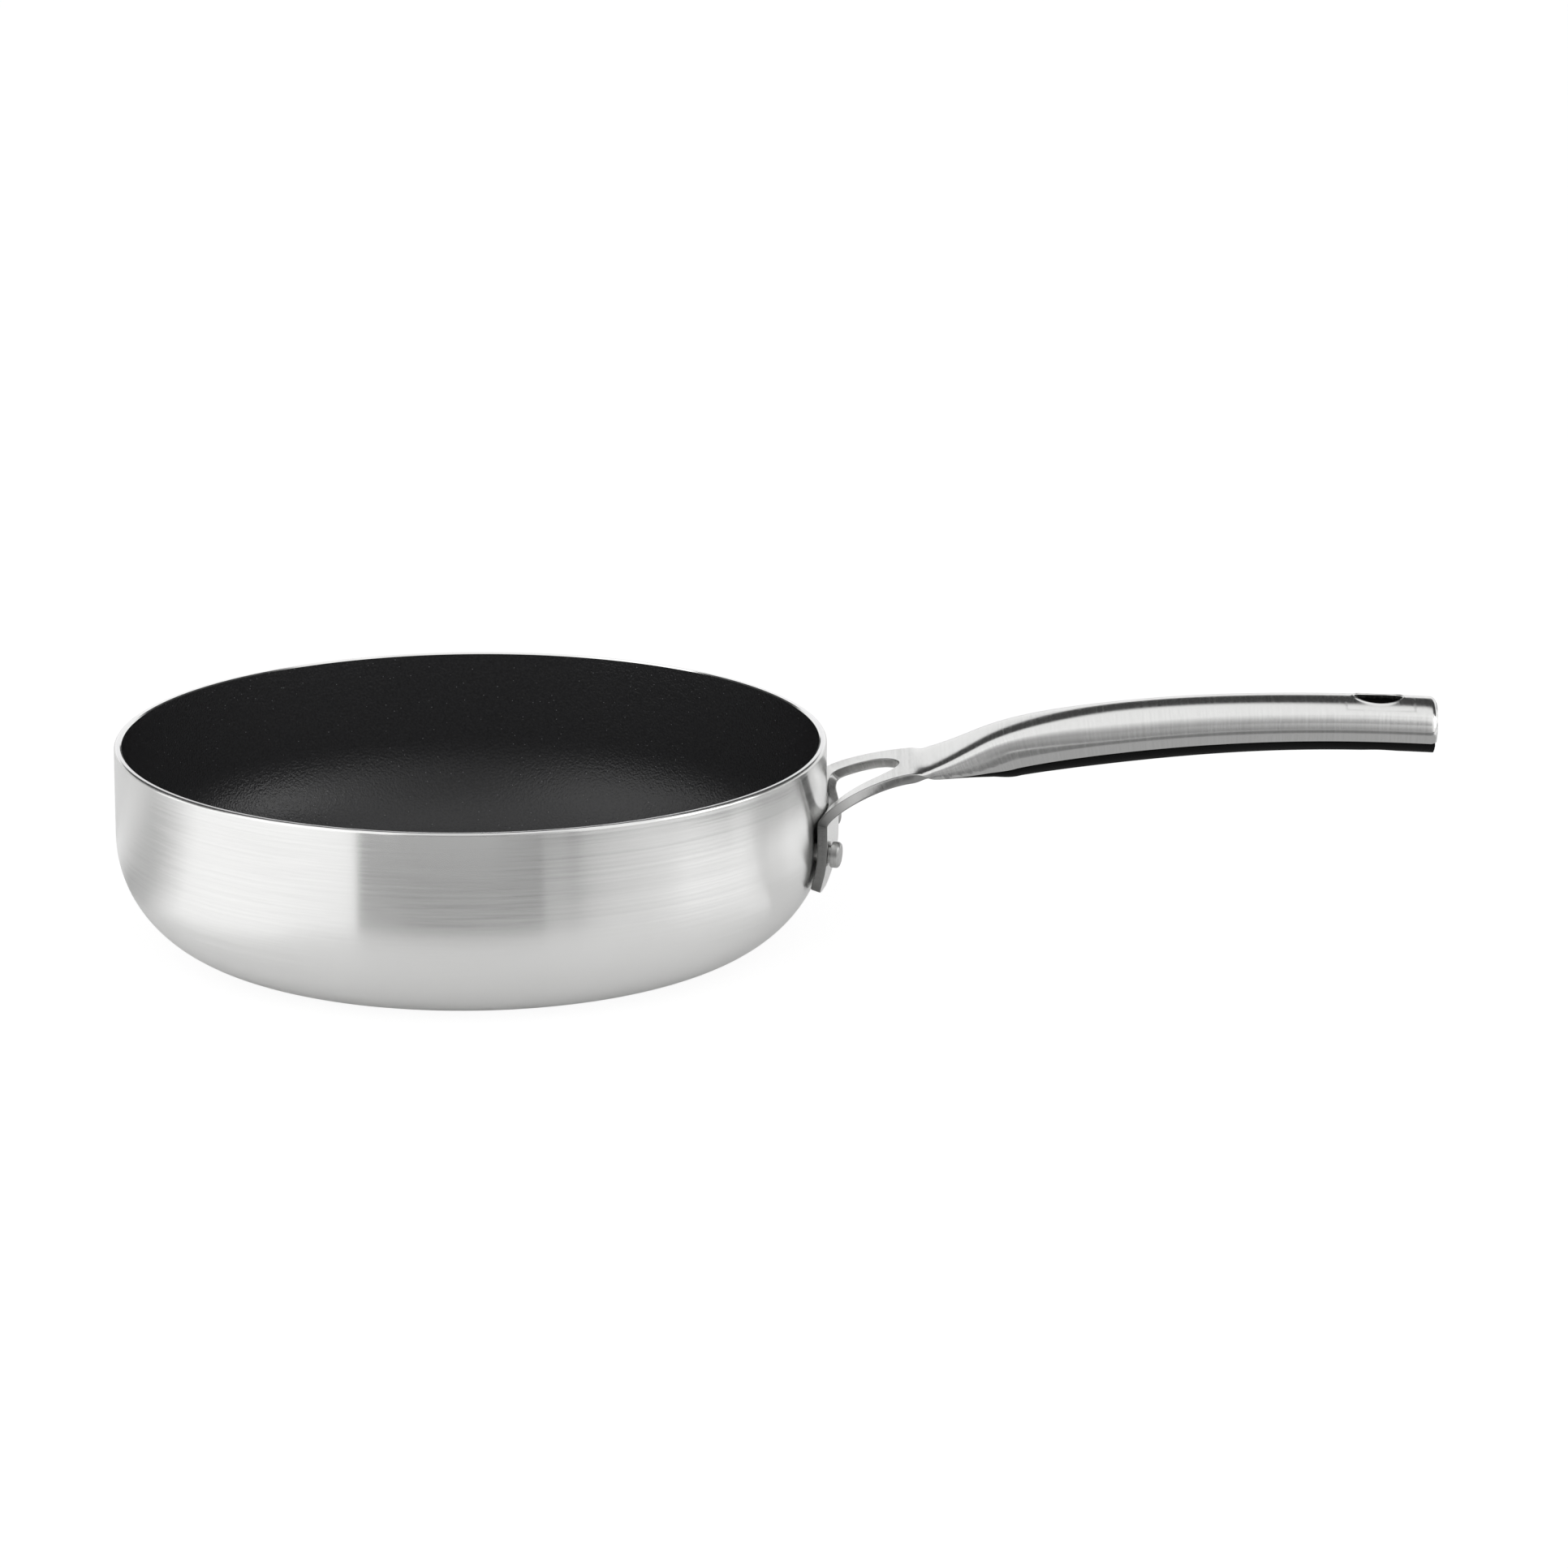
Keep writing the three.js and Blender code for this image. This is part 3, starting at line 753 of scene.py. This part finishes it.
def sheetFaces(spots, column):
    reach = (spots[:, 0] - wallX)[:, None]
    section = gripSection(reach)
    fold = ease(reach, neckReach, neckReach + handle["insertStart"])[..., None]
    gap = breakHalf(spots)
    angle = mix(quarterTurn, -section["lip"], column[None, :])
    acrossFlat = mix(gap[:, None], flatHalf(spots)[:, None], column[None, :])
    faces = []
    for inset, flatDown in ((spots[:, None, 5], 0), (section["wall"], section["wall"])):
        folded = sectionPoints(section, angle, inset)
        flat = np.stack([acrossFlat, np.broadcast_to(flatDown + 0 * acrossFlat, acrossFlat.shape)], -1)
        faces.append(mix(flat, folded, fold))
    return faces, gap


def holeRows(spots):
    rows = np.searchsorted(spots[:, 0], [hangX - hang["clear"], hangX + hang["clear"]])
    return int(rows[0]), int(rows[1])


column = np.r_[np.linspace(0, handle["lastColumn"], handle["columns"]), 1]
(upperFace, underFace), gap = sheetFaces(shellSpots, column)
edgeRound = np.full(len(shellSpots), handle["edgeRound"])
loops, skinCount = halfLoop(upperFace, underFace, edgeRound, np.minimum(handle["edgeRound"], gap / 2))
openRows = (gap[:-1] > 0) | (gap[1:] > 0)
lastFlat = len(flangeRows) + len(bendRows)
gridRows = tuple(lastFlat + r for r in holeRows(shellSpots[lastFlat:]))
shellHole = {"rows": gridRows, "columns": hang["columns"]}
reach = shellSpots[:, :1] - wallX
# the cut edge is darkest on the flange beside the wall and lighter past the neck: painted shade from the wall
# on a duller cut
dullShadedEdge = 1
for start, (near, far, fade) in ((0, handle["flangeDullAndShade"]), (neckReach, handle["neckDullAndShade"])):
    dullShadedEdge = dullShadedEdge * mix(near, far, ease(reach, start, start + fade))
shell = Shell()
sides = loftHalves(shell, shellSpots, loops, skinCount, runAlong(shellSpots), openRows, shellHole, dullShadedEdge)

upperBorder = holeBorder(sides, shellHole, slice(0, None))
underBorder = holeBorder(sides, shellHole, slice(skinCount - 1, None, -1))
angle = holeAngle(shell, upperBorder)
ring = lidRows(shell, upperBorder, angle, crownHeight, hang["lipFoot"], hang["lidSteps"])
for share in np.linspace(0, 1, hang["lipSteps"] + 1)[1:]:  # a slight lip left by the drawing
    grown = mix(hang["lipFoot"], hang["lipRound"], share)
    ring = wallRow(shell, ring, sunk(angle, grown, crownHeight, -hang["lip"] * ease(share, 0, 1)))
for turn in np.linspace(0, quarterTurn, hang["roundSteps"] + 1)[1:]:
    drop = hang["lipRound"] * (1 - math.cos(turn)) - hang["lip"]
    ring = wallRow(shell, ring, sunk(angle, hang["lipRound"] * (1 - math.sin(turn)), crownHeight, drop))
ring = wallRow(shell, ring, sunk(angle, 0, crownHeight, hang["depth"]))
ring = wallRow(shell, ring, sunk(angle, hang["round"], crownHeight, hang["depth"]))
under = lidRows(shell, underBorder, angle, lambda x, y: crownHeight(x, y) - handle["gripWall"],
                hang["round"], hang["underSteps"])
shell.strip(np.append(ring, ring[0]), np.append(under, under[0]))
handleShell = shell.build("handleShell", handleSteel, handle["sharpAngle"])
finishPiece(handleShell, "handle_steel", "handle_shell")
print("handle shell lofted")

# Insert: fills the fold, flush with the shell below its lips
insertSizes = {
    "recess": 0.4,
    "edgeRound": 0.4,
    "riseRows": 31,
    "crownRows": 91,
    "holeColumns": 24,
    "pocketSteps": 2,
    "bellySteps": 5,
    "roundRows": 6,
    "sharpAngle": 40,
}
insertFrom = handle["insertStart"] / riseLine[1][-1]
insertTo = 1 - insertSizes["recess"] / crownLength
insertSpots = np.concatenate([
    lineSpots(riseLine, np.linspace(insertFrom, 1, insertSizes["riseRows"])[:-1]),
    lineSpots(crownLine, np.linspace(0, insertTo, insertSizes["crownRows"])),
])
section = gripSection((insertSpots[:, 0] - wallX)[:, None])
step = section["lip"] + handle["gap"] / section["lower"]
upperFace = sectionPoints(section, mix(quarterTurn, -step, column[None, :]), section["wall"] + handle["gap"])
underFace = sectionPoints(section, mix(-quarterTurn, -step, column[None, :]), 0 * step)
none = np.zeros(len(insertSpots))
loops, skinCount = halfLoop(upperFace, underFace, none + insertSizes["edgeRound"], none)
insertHole = {"rows": holeRows(insertSpots), "columns": insertSizes["holeColumns"]}
insert = Shell()
sides = loftHalves(insert, insertSpots, loops, skinCount, runAlong(insertSpots), none[1:] > 0, insertHole)

upperBorder = holeBorder(sides, insertHole, slice(0, None))
underBorder = holeBorder(sides, insertHole, slice(skinCount - 1, None, -1))
angle = holeAngle(insert, upperBorder)
pocket = hang["round"] + handle["gap"]
inset = handle["gripWall"] + handle["gap"]
ring = lidRows(insert, upperBorder, angle, lambda x, y: crownHeight(x, y) - inset,
               pocket, insertSizes["pocketSteps"])
for grown in (pocket, 0):
    ring = wallRow(insert, ring, sunk(angle, grown, crownHeight, hang["depth"] + handle["gap"]))
for turn in np.linspace(0, quarterTurn, insertSizes["roundRows"]):
    rise = hang["lower"] * (1 - math.sin(turn))
    ring = wallRow(insert, ring, sunk(angle, hang["lower"] * (1 - math.cos(turn)), bellyHeight, -rise))
under = lidRows(insert, underBorder, angle, bellyHeight, hang["lower"], insertSizes["bellySteps"])
insert.strip(np.append(ring, ring[0]), np.append(under, under[0]))
gripInsert = insert.build("gripInsert", insertBlack, insertSizes["sharpAngle"])
finishPiece(gripInsert, "insert_black", "grip_insert")
print("insert lofted")

# Rivets: one turned blank set twice, square to the wall and in from the sides of the flange
rivets = {
    "height": 36.6,
    "edge": 6,
    "headRadius": 4.4,
    "headHeight": 3.2,
    "headRound": 1.2,
    "shankRadius": 3,
    "innerRadius": 6.5,
    "innerHeight": 1.8,
    "seat": 0.45,
    "innerSeat": 0.22,
    "undercut": 0.25,
    "roundRows": 9,
    "segments": 64,
    "sharpAngle": 35,
}
drop = max(vessel["corner"] - rivets["height"], 0)
wallRun = math.sqrt(vessel["corner"] ** 2 - drop ** 2)
rivetTurn = math.asin((handle["flangeWidth"] / 2 - rivets["edge"]) / (baseRadius + wallRun))


def headCurve(radius, base, top, rounding):  # from the middle of a head's end to its seat
    inward = math.copysign(1, top - base)
    points = [(0, top)]
    for a in np.linspace(0, quarterTurn, rivets["roundRows"]):
        points.append((radius - rounding * (1 - math.sin(a)), top - inward * rounding * (1 - math.cos(a))))
    foot = base + inward * rivets["undercut"]
    return points + [(radius, foot), (radius - rivets["undercut"], base)]


outerBase = handle["flangeGap"] + handle["sheet"] + rivets["seat"]
outerTop = handle["flangeGap"] + handle["sheet"] + handle["gap"] + rivets["headHeight"]
wallThickness = sum(thickness for _, _, _, thickness, *_ in vessel["layers"])
innerBase = -(wallThickness + rivets["innerSeat"])
innerTop = -(wallThickness + handle["gap"] + rivets["innerHeight"])
outerHead = headCurve(rivets["headRadius"], outerBase, outerTop, rivets["headRound"])
innerHead = headCurve(rivets["innerRadius"], innerBase, innerTop, rivets["headRound"])
shank = [(rivets["shankRadius"], outerBase), (rivets["shankRadius"], innerBase)]
rivetProfile = outerHead + shank + innerHead[::-1]

rivetTree, rivetInputs = newTree("rivetPair", {
    "Segments": "NodeSocketInt", "Turn": "NodeSocketFloat", "Seat": "NodeSocketVector",
    "Axis": "NodeSocketVector", "Finish": "NodeSocketMaterial"})
blank = turnNodes(rivetTree, rivetInputs["Profile"], rivetInputs["Segments"])
which = addNode(rivetTree, "GeometryNodeInputIndex").outputs[0]
side = addNode(rivetTree, "ShaderNodeMath", {0: which, 1: 2, 2: -1}, operation="MULTIPLY_ADD").outputs[0]
swing = addNode(rivetTree, "ShaderNodeMath", {
    0: side, 1: rivetInputs["Turn"]}, operation="MULTIPLY").outputs[0]
seat = addNode(rivetTree, "ShaderNodeVectorRotate", {
    "Vector": rivetInputs["Seat"], "Angle": swing}, rotation_type="Z_AXIS").outputs[0]
axis = addNode(rivetTree, "ShaderNodeVectorRotate", {
    "Vector": rivetInputs["Axis"], "Angle": swing}, rotation_type="Z_AXIS").outputs[0]
points = addNode(rivetTree, "GeometryNodePoints", {"Count": 2, "Position": seat}).outputs[0]
facing = addNode(rivetTree, "FunctionNodeAlignRotationToVector", {"Vector": axis}, axis="Z").outputs[0]
pair = addNode(rivetTree, "GeometryNodeInstanceOnPoints", {
    "Points": points, "Instance": blank, "Rotation": facing}).outputs[0]
closeTree(rivetTree, pair, rivetInputs["Finish"])
rivetPair = pieceFromProfile("rivetPair", rivetProfile, rivetTree, {
    "Segments": rivets["segments"], "Turn": rivetTurn,
    "Seat": ((baseRadius + wallRun) * mm, 0, rivets["height"] * mm),
    "Axis": (wallRun / vessel["corner"], 0, -drop / vessel["corner"]), "Finish": rivetSteel,
}, rivets["sharpAngle"])
finishPiece(rivetPair, "rivet_steel", "rivet_near", "rivet_far")
print("rivets set")

# Camera at the photograph's angle
view = {
    "elevation": 15.24,
    "distance": 2.4668,
    "target": (0.10554, 0, 0.0535),
    "focalPixels": 9000,
    "imagePixels": 1932,
    "sensorWidth": 36,
}
tilt = math.radians(view["elevation"])
lens = bpy.data.cameras.new("camera")
lens.sensor_width = view["sensorWidth"]
lens.lens = lens.sensor_width * view["focalPixels"] / view["imagePixels"]
camera = bpy.data.objects.new("camera", lens)
camera.location = (view["target"][0], view["target"][1] - view["distance"] * math.cos(tilt),
                   view["target"][2] + view["distance"] * math.sin(tilt))
camera.rotation_euler = (quarterTurn - tilt, 0, 0)
bpy.context.scene.collection.objects.link(camera)
bpy.context.scene.camera = camera


# Stage: a pale floor, a soft lamp, and grey cards that only reflections see, as metal is photographed
floorLook = {"colour": "#f0f0f0", "white": 0.88, "glow": 1.06, "half": 6, "level": -0.0003}


def paleFloor(look):
    material, tree = newMaterial("paleFloor")
    ray = addNode(tree, "ShaderNodeLightPath").outputs
    seen = addNode(tree, "ShaderNodeMath", {
        0: ray["Is Camera Ray"], 1: look["white"]}, operation="MULTIPLY").outputs[0]
    paint = addNode(tree, "ShaderNodeBsdfDiffuse", {"Color": hexColour(look["colour"])}).outputs[0]
    glow = addNode(tree, "ShaderNodeEmission", {"Color": (1, 1, 1, 1), "Strength": look["glow"]}).outputs[0]
    shown = addNode(tree, "ShaderNodeMixShader", {0: seen, 1: paint, 2: glow}).outputs[0]
    addNode(tree, "ShaderNodeOutputMaterial", {"Surface": shown})
    return material


def stageMesh(name, points, faces, material):
    mesh = bpy.data.meshes.new(name)
    mesh.from_pydata(points, [], faces)
    mesh.materials.append(material)
    plane = bpy.data.objects.new(name, mesh)
    bpy.context.scene.collection.objects.link(plane)
    return plane


half, level = floorLook["half"], floorLook["level"]
stageMesh("floor", [(-half, -half, level), (half, -half, level), (half, half, level), (-half, half, level)],
          [(0, 1, 2, 3)], paleFloor(floorLook))


# Brightness is kept on each card's points, so a card can fade from its foot to its head
def cardMaterial():
    material, tree = newMaterial("cardGlow")
    level = addNode(tree, "ShaderNodeAttribute", attribute_name="level").outputs["Fac"]
    glow = addNode(tree, "ShaderNodeEmission", {"Color": (1, 1, 1, 1), "Strength": level}).outputs[0]
    addNode(tree, "ShaderNodeOutputMaterial", {"Surface": glow})
    return material


cardGlow = cardMaterial()


def addCard(name, points, faces, levels):
    card = stageMesh(name, points, faces, cardGlow)
    card.data.attributes.new("level", "FLOAT", "POINT").data.foreach_set("value", levels)
    card.visible_camera = card.visible_diffuse = card.visible_shadow = False


# Standing cards by heading round the pan and height above it in degrees, with brightness at each height;
# heading 0 is towards the camera, 90 towards the handle, and "gain" grows from the first heading to the last
gapStops = [(-1, 0.25), (8, 0.26), (21, 0.34), (32, 0.38)]
standing = {
    "backGap": {"heading": (95, 265), "stops": [(19, 1), (22, 0.06), (54, 0.06), (62, 1)]},
    "frontGap": {"heading": (-33, 14), "stops": gapStops, "gain": (1, 1.1)},
    "frontRight": {"heading": (14, 28), "stops": gapStops, "gain": (1.3, 2)},
    "frontSlit": {"heading": (28, 31.5), "stops": gapStops, "gain": (2.6, 2.6)},
    "frontPost": {"heading": (31.5, 35), "stops": gapStops, "gain": (1.6, 1.6)},
    "frontTop": {"heading": (-24, 56), "stops": [(32, 0.38), (40, 0.42), (50, 0.54), (60, 0.74), (70, 1)]},
    "leftBox": {"heading": (-112, -33), "stops": [(-1, 1.4), (32, 1.4)], "gain": (1.1, 0.85)},
    "leftTop": {"heading": (-112, -24), "stops": [(32, 1.5), (58, 1.5), (70, 1)]},
    "rightBox": {"heading": (35, 70), "stops": [(-1, 1), (8, 1.2), (60, 1.2), (70, 1)], "gain": (0.8, 1.05)},
    "rightFoot": {"heading": (70, 104), "stops": [(-1, 0.9), (8, 1), (10, 1)]},
    "rightLamp": {"heading": (70, 104), "stops": [(10, 2.6), (40, 2.6), (46, 1)]},
    "rightGap": {"heading": (104, 118), "stops": [(-1, 0.75), (10, 0.75)]},
    "rightBack": {"heading": (118, 133), "stops": [(-1, 1.6), (9, 1.6)]},
    "leftBack": {"heading": (-150, -112), "stops": [(-1, 0.8), (18, 0.8)]},
}
cardDistance, cardSteps = 1.6, 20
for name, card in standing.items():
    points, faces, levels = [], [], []
    rows = len(card["stops"])
    for share in np.linspace(0, 1, cardSteps + 1):
        heading = math.radians(mix(*card["heading"], share))
        for height, brightness in card["stops"]:
            rise = math.radians(height)
            out = cardDistance * math.cos(rise)
            points.append((out * math.sin(heading), -out * math.cos(heading), cardDistance * math.sin(rise)))
            levels.append(brightness * mix(*card.get("gain", (1, 1)), share))
    for k in range(cardSteps * rows):
        if k % rows < rows - 1:
            faces.append((k, k + rows, k + rows + 1, k + 1))
    addCard(name, points, faces, levels)

# Flat cards at a height, with rows of y, the two ends in x, and brightness: the dark beyond the table's edge,
# the shade under the grip, and the floor behind the handle and behind the left side
ground = 0.0001  # just above the floor, in metres
strips = {
    "frontEdge": (ground, [(-0.2, -0.09, 0.07, 0.1), (-0.33, -0.18, 0.125, 0.12),
                           (-0.39, -0.22, 0.165, 1), (-1.58, -1.03, 0.22, 1)]),
    "frontSide": (ground, [(-0.2, 0.07, 0.15, 0.45), (-0.33, 0.125, 0.16, 0.45), (-0.39, 0.165, 0.17, 0.6)]),
    "handleEdge": (ground, [(-0.26, 0.155, 0.7, 0.2), (-0.45, 0.165, 0.8, 0.24)]),
    "handleFar": (ground, [(-0.45, 0.165, 0.24, 0.24), (-1.58, 0.22, 0.26, 0.26)]),
    "rightFar": (ground, [(-0.45, 0.24, 0.8, 0.24), (-0.7, 0.245, 0.9, 0.4), (-1.58, 0.26, 1.2, 0.45)]),
    "handleShade": (0.045, [(-0.2, 0.145, 0.4, 0.2), (-0.08, 0.145, 0.4, 0.2),
                            (-0.072, 0.145, 0.4, 0.42), (0.03, 0.145, 0.4, 0.42)]),
    "rightFloor": (ground, [(-0.25, 0.13, 0.7, 0.8), (-0.13, 0.13, 0.7, 0.92), (-0.03, 0.14, 0.7, 1)]),
    "handleBack": (ground, [(0, 0.22, 0.7, 0.9), (0.02, 0.22, 0.7, 0.9),
                            (0.05, 0.22, 0.7, 1.2), (0.3, 0.22, 0.7, 1.2)]),
    "leftFloor": (ground, [(-1.58, -2.2, -1.03, 1.08), (-0.39, -0.7, -0.22, 1.08), (-0.2, -0.6, -0.09, 1.08),
                           (-0.11, -0.6, -0.1, 1.15), (-0.05, -0.6, -0.13, 1.15)]),
    "leftBehind": (ground, [(-0.05, -0.4, -0.13, 1.15), (0, -0.4, -0.13, 0.6), (0.04, -0.4, -0.13, 0.44),
                            (0.12, -0.5, -0.13, 1)]),
}
for name, (height, rows) in strips.items():
    points = [(x, y, height) for y, left, right, _ in rows for x in (left, right)]
    faces = [(2 * k, 2 * k + 1, 2 * k + 3, 2 * k + 2) for k in range(len(rows) - 1)]
    addCard(name, points, faces, [row[3] for row in rows for _ in range(2)])

# Soft lamp above the camera's side of the table, kept out of reflections, and the room's own light
light = {"size": (1.8, 1.2), "watts": 16, "place": (0.1, -1.45, 1.05), "tilt": 55, "ambient": 0.7, "white": 1}
lamp = bpy.data.lights.new("softbox", "AREA")
lamp.shape = "RECTANGLE"
lamp.size, lamp.size_y = light["size"]
lamp.energy = light["watts"]
softbox = bpy.data.objects.new("softbox", lamp)
softbox.location = light["place"]
softbox.rotation_euler = (math.radians(light["tilt"]), 0, 0)
softbox.visible_glossy = False
bpy.context.scene.collection.objects.link(softbox)

world = bpy.data.worlds.new("studio")
world.use_nodes = True
tree = world.node_tree
tree.nodes.clear()
ray = addNode(tree, "ShaderNodeLightPath").outputs
seen = ray["Is Camera Ray"]
for other in ("Is Glossy Ray", "Is Transmission Ray"):
    seen = addNode(tree, "ShaderNodeMath", {0: seen, 1: ray[other]}, operation="ADD").outputs[0]
ambient, white = (addNode(tree, "ShaderNodeBackground", {
    "Color": (1, 1, 1, 1), "Strength": light[share]}).outputs[0] for share in ("ambient", "white"))
sky = addNode(tree, "ShaderNodeMixShader", {0: seen, 1: ambient, 2: white}).outputs[0]
addNode(tree, "ShaderNodeOutputWorld", {"Surface": sky})
bpy.context.scene.world = world
bpy.context.scene.view_settings.view_transform = "Standard"
print("stage lit")
